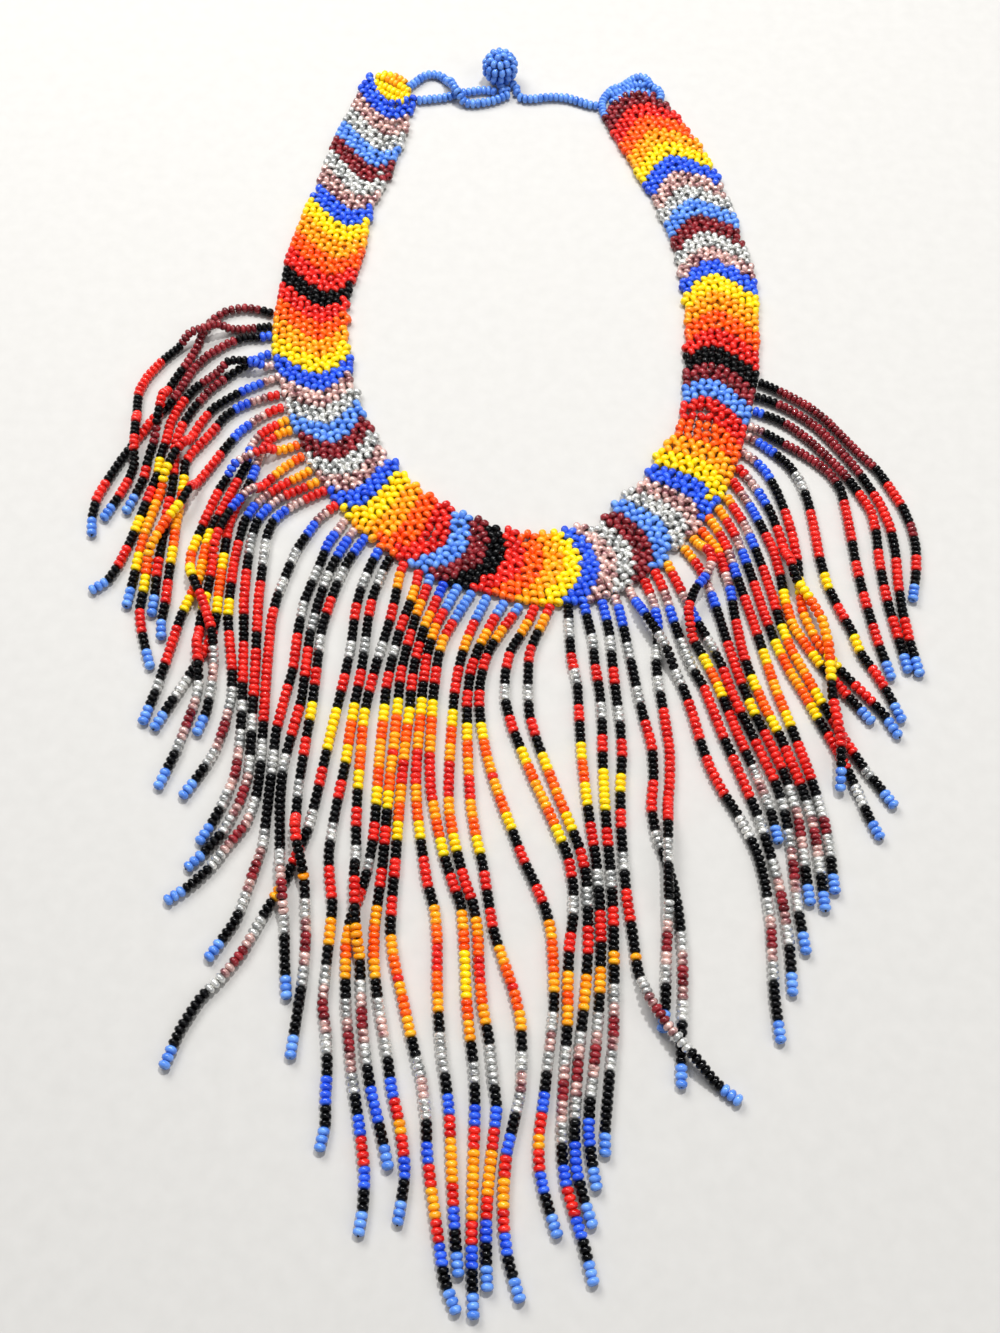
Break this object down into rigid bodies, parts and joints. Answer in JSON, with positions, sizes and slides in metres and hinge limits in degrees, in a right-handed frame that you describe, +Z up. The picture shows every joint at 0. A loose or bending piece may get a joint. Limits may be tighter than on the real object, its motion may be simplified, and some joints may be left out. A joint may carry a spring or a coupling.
{
  "type": "beaded bib necklace",
  "caption": "Bib necklace of glass seed beads lying flat: a netted collar with long beaded strands round its front edge and a beaded ball and loop clasp.",
  "frame": {"origin": "middle of the bounding box in X and Y, on the surface it lies on", "axes": "+X across the collar to its right end, +Y from the tips of the strands to the clasp, +Z up from the surface"},
  "size_m": [0.2046, 0.3472, 0.011],
  "materials": {
    "glass_red": "gloss",
    "glass_orange": "gloss",
    "glass_amber": "gloss",
    "glass_yellow": "gloss",
    "glass_black": "gloss",
    "glass_blue": "gloss",
    "glass_pale_blue": "gloss",
    "glass_garnet": "gloss",
    "glass_silver_lined": "gloss",
    "glass_pink_lined": "gloss",
    "thread": "matt"
  },
  "bodies": {
    "root": {"collar_band": "glass_red", "left_end_cap": "glass_yellow", "right_end_loops": "glass_pale_blue", "clasp_loop": "glass_pale_blue", "ball_string": "glass_pale_blue", "clasp_ball": "glass_pale_blue", "fringe_left_1": "glass_garnet", "fringe_left_2": "glass_red", "fringe_left_3": "glass_red", "fringe_left_4": "glass_red", "fringe_left_5": "glass_black", "fringe_left_6": "glass_black", "fringe_centre": "glass_orange", "fringe_right_6": "glass_black", "fringe_right_5": "glass_black", "fringe_right_4": "glass_red", "fringe_right_3": "glass_red", "fringe_right_2": "glass_red", "fringe_right_1": "glass_garnet"}
  },
  "joints": []
}
